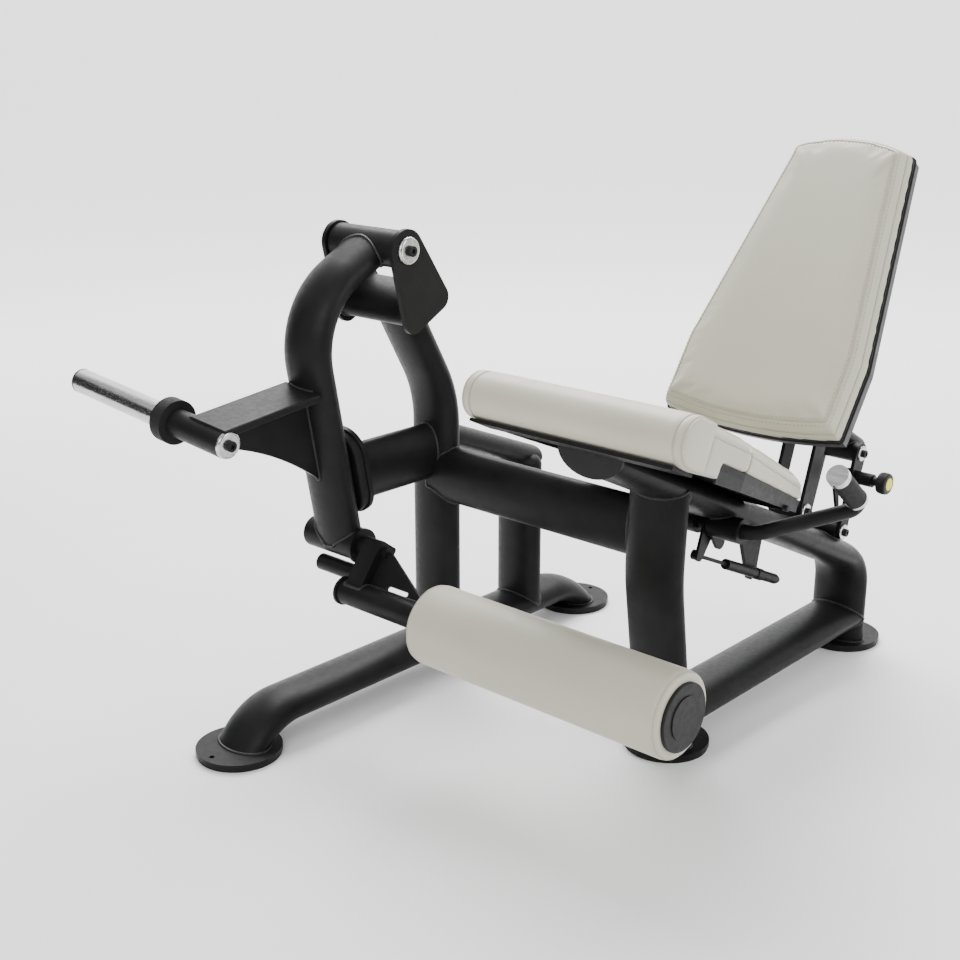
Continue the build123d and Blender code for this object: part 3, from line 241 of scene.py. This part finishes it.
def sweep(build, path, radii, closed=False, sides=8):
    """Adds a round tube along a path, with one radius per point."""
    rings, normal = [], None
    last = len(path) - 1
    for i, place in enumerate(path):
        ahead = path[(i + 1) % len(path)] if closed else path[min(i + 1, last)]
        behind = path[i - 1] if closed else path[max(i - 1, 0)]
        way = (ahead - behind).normalized()
        if normal is None:
            normal = way.orthogonal()
        normal = (normal - way * normal.dot(way)).normalized()
        across = way.cross(normal)
        ring = []
        for k in range(sides):
            angle = 2 * math.pi * k / sides
            offset = normal * math.cos(angle) + across * math.sin(angle)
            ring.append(build.verts.new(place + offset * radii[i]))
        rings.append(ring)
    for low, high in zip(rings, rings[1:]):
        bridge(build, low, high)
    if closed:
        start, end = rings[0], rings[-1]
        turn = min(range(sides), key=lambda k: (start[k].co - end[0].co).length)
        bridge(build, end, start[turn:] + start[:turn])
    else:
        build.faces.new(rings[0])
        build.faces.new(rings[-1])


def resample(points, closed, step):
    """Evenly spaced points along a polyline."""
    line = points + [points[0]] if closed else points
    lengths = [(b - a).length for a, b in zip(line, line[1:])]
    total = sum(lengths)
    count = max(3, round(total / step))
    made, i, passed = [], 0, 0.0
    for k in range(count if closed else count + 1):
        want = total * k / count
        while i < len(lengths) - 1 and passed + lengths[i] < want:
            passed += lengths[i]
            i += 1
        share = (want - passed) / lengths[i] if lengths[i] else 0
        made.append(line[i].lerp(line[i + 1], min(1.0, share)))
    return made


def eased(points, closed, times):
    """Points averaged with their neighbours, to round off corners."""
    for _ in range(times):
        last = len(points) - 1
        made = []
        for i, point in enumerate(points):
            if not closed and i in (0, last):
                made.append(point)
                continue
            made.append((points[i - 1] + point * 2 + points[(i + 1) % len(points)]) / 4)
        points = made
    return points


def turned(name, place, way, rings, body, finish, sides=48, open_ends=False):
    """Lathe-like piece, its axis near X: rings of (distance, radius or radius by angle)."""
    build = bmesh.new()
    across = (Vector((0, 1, 0)) - way * way.y).normalized()
    third = way.cross(across)
    made = []
    for distance, radius in rings:
        ring = []
        for k in range(sides):
            angle = 2 * math.pi * k / sides
            r = radius(angle) if callable(radius) else radius
            offset = across * math.cos(angle) + third * math.sin(angle)
            ring.append(build.verts.new(place + way * distance + offset * r))
        made.append(ring)
    for low, high in zip(made, made[1:]):
        bridge(build, low, high)
    if open_ends:
        bridge(build, made[-1], made[0])
    else:
        build.faces.new(made[0])
        build.faces.new(made[-1])
    return piece_from(build, name, body, finish)


def hexagon(radius):
    sixth = math.pi / 3
    return lambda angle: radius * math.cos(sixth / 2) / math.cos(angle % sixth - sixth / 2)


def socket_screw(name, place, way, radius, height, body):
    """Black socket-head screw with a hexagon recess."""
    edge = 0.1 * radius
    rings = [(0, radius), (height - edge, radius), (height - 0.3 * edge, radius - 0.3 * edge),
             (height, radius - edge), (height, 0.62 * radius),
             (height - 0.1 * edge, hexagon(0.5 * radius)), (0.45 * height, hexagon(0.46 * radius))]
    return turned(name, place, way, rings, body, "black_plastic")


# ---- welds ----
WELD_RADIUS, WELD_STEP, WELD_RIPPLE = 3.3 * MM, 1.2 * MM, 5.5 * MM
TOUCH = 0.8 * MM
WELDS = [
    ("left_front_upright", "left_base_rail"), ("left_rear_upright", "left_base_rail"),
    ("left_brace", "left_front_upright"), ("left_rear_upright", "left_brace"),
    ("main_cross_beam", "left_front_upright"), ("main_cross_beam", "right_front_upright"),
    ("stop_stub", "left_front_upright"), ("stop_stub", "stop_plate"),
    ("right_front_upright", "seat_tube"), ("right_base_rail", "right_front_upright"),
    ("right_base_rail", "seat_tube"), ("left_front_upright", "pivot_cross_tube"),
    ("pivot_cross_tube", "pivot_plates"), ("seat_tube", "handle_sleeves"),
    ("arm_tube", "arm_pivot_housing"), ("arm_tube", "arm_end_housing"),
    ("horn_bracket", "arm_tube"), ("horn_bracket", "horn_base_tube"), ("horn_gusset", "arm_tube"),
    ("horn_gusset", "horn_base_tube"), ("ankle_link_block", "ankle_tube"),
    ("ankle_gusset", "ankle_tube"), ("ankle_stop_rod", "ankle_link_block"),
    ("link_bosses", "seat_tube"), ("left_base_rail", "foot_discs"), ("seat_tube", "foot_discs"),
    ("right_front_upright", "foot_discs"), ("backrest_spine", "backrest_pivots"),
]
BODIES = frame["record"]["behaviour"]["bodies"]
BODY_OF = {node: name for name, nodes in BODIES.items() for node in nodes}
SHARP_CUT = 0.4                      # radians between faces at a cut edge
SHORTEST_WELD, INNER_EDGE = 30 * MM, 12 * MM


def joined_bmesh(node):
    build = bmesh.new()
    build.from_mesh(NODES[node].data)
    bmesh.ops.remove_doubles(build, verts=build.verts, dist=0.02 * MM)
    return build


def walk(neighbours):
    """Chains of linked vertices, each as (list, closed)."""
    chains = []
    while neighbours:
        ends = [v for v, near in neighbours.items() if len(near) == 1]
        here = ends[0] if ends else next(iter(neighbours))
        start, chain = here, [here]
        while neighbours.get(here):
            after = neighbours[here].pop()
            neighbours[after].discard(here)
            if not neighbours[here]:
                del neighbours[here]
            chain.append(after)
            here = after
        if here in neighbours and not neighbours[here]:
            del neighbours[here]
        if start in neighbours and not neighbours[start]:
            del neighbours[start]
        closed = chain[0] is chain[-1] and len(chain) > 3
        chains.append((chain[:-1] if closed else chain, closed))
    return chains


def contact_lines(member, onto):
    """Outer cut edges of a member that lie on another node."""
    build, other = joined_bmesh(member), joined_bmesh(onto)
    tree = BVHTree.FromBMesh(other)
    touching = {v for v in build.verts if (tree.find_nearest(v.co, TOUCH)[0] is not None)}
    neighbours = {}
    for edge in build.edges:
        a, b = edge.verts
        if a in touching and b in touching and edge.calc_face_angle(0) > SHARP_CUT:
            neighbours.setdefault(a, set()).add(b)
            neighbours.setdefault(b, set()).add(a)
    lines = []
    for chain, closed in walk(neighbours):
        points = [v.co.copy() for v in chain]
        length = sum((b - a).length for a, b in zip(points, points[1:]))
        middle = sum(points, Vector()) / len(points)
        lines.append((length, middle, points, closed))
    lines.sort(key=lambda line: -line[0])
    kept = []
    for length, middle, points, closed in lines:
        inner = any((middle - other_middle).length < INNER_EDGE for other_middle, _, _ in kept)
        if length >= SHORTEST_WELD and not inner:
            kept.append((middle, points, closed))
    build.free()
    other.free()
    return [(points, closed) for _, points, closed in kept]


def make_welds():
    """One rippled bead along each welded joint."""
    for member, onto in WELDS:
        build = bmesh.new()
        for points, closed in contact_lines(member, onto):
            path = eased(resample(points, closed, WELD_STEP), closed, 4)
            radii = [WELD_RADIUS * (1 + 0.14 * math.sin(2 * math.pi * k * WELD_STEP / WELD_RIPPLE))
                     for k in range(len(path))]
            sweep(build, path, radii, closed)
        if build.verts:
            piece_from(build, f"weld_{member}_{onto}", BODY_OF[member], "weld", 60)
        else:
            print("no weld line found", member, onto)
            build.free()


# ---- cushions ----
PRESSURE, SIM_FRAMES = 4.0, 20
VOXEL = 5.5 * MM
SHRINK = 0.5 * MM


def bake(piece):
    """Applies every modifier of a piece."""
    graph = bpy.context.evaluated_depsgraph_get()
    made = bpy.data.meshes.new_from_object(piece.evaluated_get(graph))
    piece.modifiers.clear()
    piece.data = made


def cushion(name, node, held, limit):
    """Padded cover grown from a CAD cushion by cloth under pressure, where held(place) is false."""
    piece = link_mesh(name, NODES[node].data.copy())
    cells = piece.modifiers.new("cells", "REMESH")
    cells.mode = "VOXEL"
    cells.voxel_size = VOXEL
    bake(piece)
    soften = piece.modifiers.new("soften", "SMOOTH")
    soften.factor, soften.iterations = 0.5, 9
    bake(piece)
    inward = [vertex.normal * -SHRINK for vertex in piece.data.vertices]
    for vertex, move in zip(piece.data.vertices, inward):
        vertex.co += move
    start = [vertex.co.copy() for vertex in piece.data.vertices]
    group = piece.vertex_groups.new(name="held")
    group.add([i for i, place in enumerate(start) if held(place)], 1.0, "REPLACE")
    cloth = piece.modifiers.new("cloth", "CLOTH")
    cloth.settings.quality = 4
    cloth.settings.mass = 0.25
    cloth.settings.use_pressure = True
    cloth.settings.uniform_pressure_force = PRESSURE
    cloth.settings.vertex_group_mass = "held"
    cloth.settings.effector_weights.gravity = 0
    cloth.collision_settings.use_collision = False
    for number in range(1, SIM_FRAMES + 1):
        bpy.context.scene.frame_set(number)
    bake(piece)
    bpy.context.scene.frame_set(1)
    for vertex, place in zip(piece.data.vertices, start):
        moved = vertex.co - place
        vertex.co = place + moved * (limit / (limit + moved.length))
    finer = piece.modifiers.new("finer", "SUBSURF")
    finer.levels = finer.render_levels = 1
    bake(piece)
    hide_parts(node)
    part = next(p for p in frame["record"]["subparts"] if p["node"] == node)
    finish_piece(piece, BODY_OF[node], part["material_slot"], 180)
    return piece


def crease(piece, path, depth, width):
    """Pulls the cover in along a seam."""
    near = KDTree(len(path))
    for i, place in enumerate(path):
        near.insert(place, i)
    near.balance()
    moves = []
    for vertex in piece.data.vertices:
        distance = near.find(vertex.co)[2]
        if distance < 3 * width:
            pull = depth * math.exp(-((distance / width) ** 2))
            moves.append((vertex, vertex.normal * pull))
    for vertex, move in moves:
        vertex.co -= move


def on_surface(piece, path, lift=0.0):
    """The path laid on a piece's surface, with the surface's normals."""
    build = bmesh.new()
    build.from_mesh(piece.data)
    tree = BVHTree.FromBMesh(build)
    made = []
    for place in path:
        spot, normal, _, _ = tree.find_nearest(place)
        made.append((spot + normal * lift, normal))
    build.free()
    return made


def seam(name, piece, points, closed, body, radius=1.6 * MM, finish="piping", depth=2.2 * MM):
    """Creases the cover along a line and lays a cord of piping in it."""
    path = resample(points, closed, 4 * MM)
    path = [place for place, _ in on_surface(piece, path)]
    crease(piece, path, depth, 4.5 * MM)
    path = [place for place, _ in on_surface(piece, path, 0.25 * radius)]
    path = eased(path, closed, 3)
    build = bmesh.new()
    sweep(build, path, [radius] * len(path), closed)
    return piece_from(build, name, body, finish, 60)


def stitches(name, piece, points, closed, body, length=5 * MM, gap=3.5 * MM):
    """Row of separate thread stitches lying on a cover."""
    build = bmesh.new()
    pitch = length + gap
    path = on_surface(piece, resample(points, closed, pitch), 0.25 * MM)
    for (place, _), (after, _) in zip(path, path[1:]):
        if (after - place).length < 0.5 * pitch:
            continue
        end = place.lerp(after, length / pitch)
        spots = [place, place.lerp(end, 0.25), place.lerp(end, 0.75), end]
        sweep(build, spots, [0.3 * MM, 0.75 * MM, 0.75 * MM, 0.3 * MM], sides=6)
    return piece_from(build, name, body, "seam_thread", 60)


def seat_point(across, along, above):
    """Point given across the seat, down along it and square above its reference line."""
    c, s = math.cos(SEAT_SLOPE), math.sin(SEAT_SLOPE)
    return SEAT_ORIGIN + Vector((across, c * along + s * above, c * above - s * along))


def seat_place(place):
    """(across, along, above) of a point."""
    c, s = math.cos(SEAT_SLOPE), math.sin(SEAT_SLOPE)
    offset = place - SEAT_ORIGIN
    return offset.x, c * offset.y - s * offset.z, s * offset.y + c * offset.z


def back_point(across, up, behind):
    """Point given across the backrest, up it and behind its front seam."""
    c, s = math.cos(RECLINE), math.sin(RECLINE)
    return BACK_ORIGIN + Vector((across, s * up + c * behind, c * up - s * behind))


def back_behind(place):
    """How far a point lies behind the backrest's front face."""
    offset = place - BACK_ORIGIN
    return offset.y * math.cos(RECLINE) - offset.z * math.sin(RECLINE)


def roll_line(across):
    """Line round the front of the knee roll."""
    points = [seat_point(across, ROLL_BACK - 4 * MM, -ROLL_RADIUS)]
    for degrees in range(-90, 91, 6):
        angle = math.radians(degrees)
        along, above = -ROLL_RADIUS * math.cos(angle), ROLL_RADIUS * math.sin(angle)
        points.append(seat_point(across, along, above))
    points.append(seat_point(across, ROLL_BACK - 4 * MM, ROLL_RADIUS))
    return points


def make_knee_roll():
    def held(place):
        _, along, above = seat_place(place)
        return along > ROLL_BACK - 6 * MM or above < -ROLL_RADIUS + 3 * MM

    roll = cushion("cover_knee_roll", "seat_knee_roll", held, 6 * MM)
    for side in (-1, 1):
        for rank, across in enumerate(ROLL_SEAMS):
            seam(f"seam_knee_roll_{'right' if side < 0 else 'left'}_{rank}", roll,
                 roll_line(side * across * MM), False, "frame")


def make_middle_pad():
    def held(place):
        _, along, above = seat_place(place)
        return above < -5 * MM or along < ROLL_BACK + 4 * MM or along > MIDDLE_END - 4 * MM

    pad = cushion("cover_seat_middle", "seat_pad_middle", held, 6 * MM)
    for side, word in ((-1, "right"), (1, "left")):
        for rank, (across, above) in enumerate(MIDDLE_SEAMS):
            line = [seat_point(side * across * MM, ROLL_BACK + 3 * MM, above * MM),
                    seat_point(side * across * MM, MIDDLE_END - 3 * MM, above * MM)]
            seam(f"seam_seat_middle_{word}_{rank}", pad, line, False, "frame", 1.2 * MM)


def rear_line(inset, drop):
    """Line round the rear seat pad, inset from its edge and dropped from its top."""
    (front_half, front), (waist_half, waist), (tail_half, tail) = REAR_CORNERS
    right = [(front_half - inset, front + inset), (waist_half - inset, waist),
             (tail_half - 0.5 * inset, tail - inset)]
    outline = right + [(-x, y) for x, y in reversed(right)]
    return [seat_point(x * MM, y * MM, (REAR_TOP - REAR_FALL * (y - front) - drop) * MM)
            for x, y in outline]


def make_rear_pad():
    def held(place):
        _, along, above = seat_place(place)
        return above < -6 * MM or along < MIDDLE_END + 5 * MM

    pad = cushion("cover_seat_rear", "seat_pad_rear", held, 6 * MM)
    seam("seam_seat_rear_top", pad, rear_line(22, 0), True, "frame", 1.3 * MM)
    seam("seam_seat_rear_side", pad, rear_line(0, 24), True, "frame", 1.2 * MM)


def back_line(grow, behind):
    """Outline of the backrest at a distance behind its front face."""
    low, top = BACK_LOW_HALF + grow, BACK_TOP_HALF + 0.9 * grow
    shoulder, foot = BACK_SHOULDER + 0.55 * grow, BACK_FOOT - grow
    rise = BACK_ARCH + 0.45 * grow
    points = [(low, foot), (low, BACK_WAIST), (top, shoulder)]
    for k in range(1, 12):
        x = top * (1 - k / 6)
        points.append((x, shoulder + rise * (1 - (x / top) ** 2)))
    points += [(-top, shoulder), (-low, BACK_WAIST), (-low, foot)]
    for k in range(1, 12):
        x = low * (k / 6 - 1)
        points.append((x, foot - BACK_ARCH * (1 - (x / low) ** 2)))
    return [back_point(x, y, behind) for x, y in points]


def make_backrest():
    def held(place):
        return back_behind(place) > BACK_THICK - 16 * MM

    pad = cushion("cover_backrest", "backrest_pad", held, 5 * MM)
    seam("seam_backrest_front", pad, back_line(0, 0), True, "backrest", 1.7 * MM)
    seam("seam_backrest_side", pad, back_line(BACK_GROW, BACK_BEVEL), True, "backrest", 1.3 * MM)
    stitches("stitches_backrest_face", pad, back_line(-7 * MM, 0), True, "backrest")
    stitches("stitches_backrest_bevel", pad, back_line(5 * MM, 9 * MM), True, "backrest")
    build = bmesh.new()
    edge = back_line(BACK_GROW + 1.6 * MM, BACK_THICK + 0.5 * MM)
    path = eased(resample(edge, True, 6 * MM), True, 1)
    sweep(build, path, [2.2 * MM] * len(path), True)
    piece_from(build, "backrest_gasket", "backrest", "black_rubber", 60)


def make_roller():
    low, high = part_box("roller_pad")
    axis = (low + high) / 2
    radius = (high.z - low.z) / 2

    def held(place):
        return math.hypot(place.y - axis.y, place.z - axis.z) < ROLLER_CORE

    roller = cushion("cover_roller", "roller_pad", held, 5 * MM)
    for side, x in (("right", low.x), ("left", high.x)):
        inward = 1 if x < axis.x else -1
        out = radius - 2 * MM
        ring = [Vector((x + inward * 5 * MM, axis.y + out * math.cos(a * math.pi / 30),
                        axis.z + out * math.sin(a * math.pi / 30))) for a in range(60)]
        seam(f"seam_roller_{side}", roller, ring, True, "ankle_roller", 1.4 * MM)
    line = [Vector((low.x + 8 * MM, axis.y + 0.6 * radius, axis.z - 0.8 * radius)),
            Vector((high.x - 8 * MM, axis.y + 0.6 * radius, axis.z - 0.8 * radius))]
    seam("seam_roller_length", roller, line, False, "ankle_roller", 1.0 * MM)


# ---- fittings ----
LEFT, RIGHT = Vector((1, 0, 0)), Vector((-1, 0, 0))
LINK_SCREW, LINK_SCREW_DEEP = (8.4 * MM, 7.4 * MM), 7 * MM
PIVOT_SCREW, PIVOT_SCREW_DEEP = (10.4 * MM, 8.4 * MM), 8 * MM
HORN_MIDDLE_FROM_END, HORN_MIDDLE_TO_TIP = 315 * MM, 140 * MM
KNOB_RADIUS, KNURL_RADIUS, KNURL_DEPTH, KNURL_TEETH = 22.4 * MM, 23.2 * MM, 0.5 * MM, 48


def screw_pair(stem, node, centre, deep, size, body):
    """Screw heads over both ends of an axle that runs along X."""
    low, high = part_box(node)
    for side, way, x in (("left", LEFT, high.x), ("right", RIGHT, low.x)):
        place = Vector((x, centre.y, centre.z)) - way * deep
        socket_screw(f"{stem}_{side}", place, way, *size, body)


def make_screws():
    low_front, low_rear = joint_place("front_link_swing"), joint_place("backrest_adjust")
    link = joint_place("backrest_keep_level") - low_rear
    for word, low_centre in (("front", low_front), ("rear", low_rear)):
        for rank, centre in enumerate((low_centre, low_centre + link)):
            screw_pair(f"screw_{word}_link_{rank}", f"{word}_link_axles", centre, LINK_SCREW_DEEP,
                       LINK_SCREW, f"{word}_links")
    screw_pair("screw_pivot", "pivot_bolts", joint_place("lever_arm_swing"), PIVOT_SCREW_DEEP,
               PIVOT_SCREW, "frame")
    horn_end = HORN_MIDDLE - HORN_WAY * (HORN_MIDDLE_FROM_END + PIVOT_SCREW_DEEP)
    socket_screw("screw_horn", horn_end, -HORN_WAY, *PIVOT_SCREW, "lever_arm")


def make_horn_rim():
    """Thin dark rim round the tip of the weight horn."""
    profile = ((0, 24.7), (3.6, 24.7), (4.6, 24), (4.6, 21.5), (5.4, 21.5), (5.4, 22), (4.9, 23.9),
               (0, 23.9))
    rings = [(distance * MM, radius * MM) for distance, radius in profile]
    tip = HORN_MIDDLE + HORN_WAY * HORN_MIDDLE_TO_TIP
    turned("horn_tip_rim", tip, HORN_WAY, rings, "lever_arm", "black_rubber", 64, open_ends=True)


def knurl(angle):
    return KNURL_RADIUS + KNURL_DEPTH * math.sin(KNURL_TEETH * angle)


def make_knobs():
    low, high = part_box("plunger")
    face = Vector((high.x, (low.y + high.y) / 2, (low.z + high.z) / 2))
    turned("plunger_disc", face - LEFT * 2.2 * MM, LEFT,
           [(0, 13.5 * MM), (2.6 * MM, 13.5 * MM), (3.0 * MM, 13 * MM)],
           "lock_plunger", "yellow_plastic")
    turned("plunger_knurl", face - LEFT * 17 * MM, LEFT,
           [(0, KNOB_RADIUS), (1 * MM, knurl), (11.5 * MM, knurl), (12.5 * MM, KNOB_RADIUS)],
           "lock_plunger", "black_plastic", 6 * KNURL_TEETH)
    pan_edge = seat_point(209.5 * MM, 385 * MM, -36 * MM)
    turned("pan_knob", pan_edge - LEFT * 3 * MM, LEFT,
           [(0, 5 * MM), (6 * MM, 6 * MM), (9 * MM, 6 * MM), (10.5 * MM, 4.5 * MM)],
           "frame", "black_plastic")


# ---- camera and stage ----
def make_camera():
    data = bpy.data.cameras.new("camera")
    data.lens = CAMERA_LENS
    data.sensor_width = 36.0
    camera = bpy.data.objects.new("camera", data)
    camera.location = CAMERA_PLACE
    camera.rotation_euler = (math.pi / 2 - CAMERA_PITCH, 0, CAMERA_HEADING)
    bpy.context.scene.collection.objects.link(camera)
    bpy.context.scene.camera = camera


def area_light(name, place, target, size, power):
    data = bpy.data.lights.new(name, "AREA")
    data.shape = "RECTANGLE"
    data.size, data.size_y = size
    data.energy = power
    light = bpy.data.objects.new(name, data)
    light.location = place
    light.rotation_euler = (Vector(target) - Vector(place)).to_track_quat("-Z", "Y").to_euler()
    bpy.context.scene.collection.objects.link(light)


def stage_mesh(name, verts, faces, finish):
    mesh = bpy.data.meshes.new(name)
    mesh.from_pydata(verts, [], faces)
    mesh.shade_smooth()
    mesh.materials.append(finish)
    link_mesh(name, mesh)


def glowing_floor():
    """Pale finish that glows gently beyond the machine."""
    pale = finish_material("pale_floor", (0.95, 0.95, 0.95), 0.01, (0.6, 0.7), (40, 0.02), 2.0,
                           specular=0.2)
    tree = pale.node_tree
    shader = tree.nodes["Principled BSDF"]
    shader.inputs["Emission Color"].default_value = (1, 1, 1, 1)
    coords = tree.nodes.new("ShaderNodeTexCoord")
    distance = tree.nodes.new("ShaderNodeVectorMath")
    distance.operation = "LENGTH"
    spread = tree.nodes.new("ShaderNodeMapRange")
    spread.interpolation_type = "SMOOTHSTEP"
    spread.inputs["From Min"].default_value = GLOW_NEAR
    spread.inputs["From Max"].default_value = GLOW_FAR
    spread.inputs["To Max"].default_value = FLOOR_GLOW
    node_link(tree, coords, "Object", distance, 0)
    node_link(tree, distance, "Value", spread, "Value")
    node_link(tree, spread, "Result", shader, "Emission Strength")
    return pale


def make_floor():
    """Floor that curves up into a wall behind the machine, as the camera sees it."""
    rows = [(-FLOOR_HALF, 0)]
    for step in range(COVE_STEPS + 1):
        angle = math.pi / 2 * step / COVE_STEPS
        rows.append((COVE_START + COVE_RADIUS * math.sin(angle),
                     COVE_RADIUS * (1 - math.cos(angle))))
    rows.append((COVE_START + COVE_RADIUS, WALL_TOP))
    c, s = math.cos(CAMERA_HEADING), math.sin(CAMERA_HEADING)
    verts = [(side * c - along * s, side * s + along * c, height)
             for along, height in rows for side in (-FLOOR_HALF, FLOOR_HALF)]
    faces = [(k, k + 1, k + 3, k + 2) for k in range(0, len(verts) - 2, 2)]
    stage_mesh("floor", verts, faces, glowing_floor())


def make_cards():
    """Dark cards beside the camera's view, for the dark bands in the chrome and the paint."""
    for name, x, (y_low, z_low), (y_high, z_high) in CARDS:
        verts = [(x, y_low, z_low), (x, y_high, z_low), (x, y_high, z_high), (x, y_low, z_high)]
        stage_mesh(name, verts, [(0, 1, 2, 3)], FINISHES["black_rubber"])


def make_lights():
    """Bright plain surroundings and large soft lamps."""
    world = bpy.data.worlds.new("studio")
    bpy.context.scene.world = world
    world.use_nodes = True
    background = world.node_tree.nodes["Background"]
    background.inputs["Color"].default_value = (1.0, 1.0, 1.0, 1)
    background.inputs["Strength"].default_value = WORLD_STRENGTH
    for name, place, size, power in LAMPS:
        area_light(name, place, LAMP_TARGET, size, power)


dress_cad_nodes()
make_knee_roll()
make_middle_pad()
make_rear_pad()
make_backrest()
make_roller()
make_welds()
make_screws()
make_horn_rim()
make_knobs()
make_camera()
make_floor()
make_cards()
make_lights()
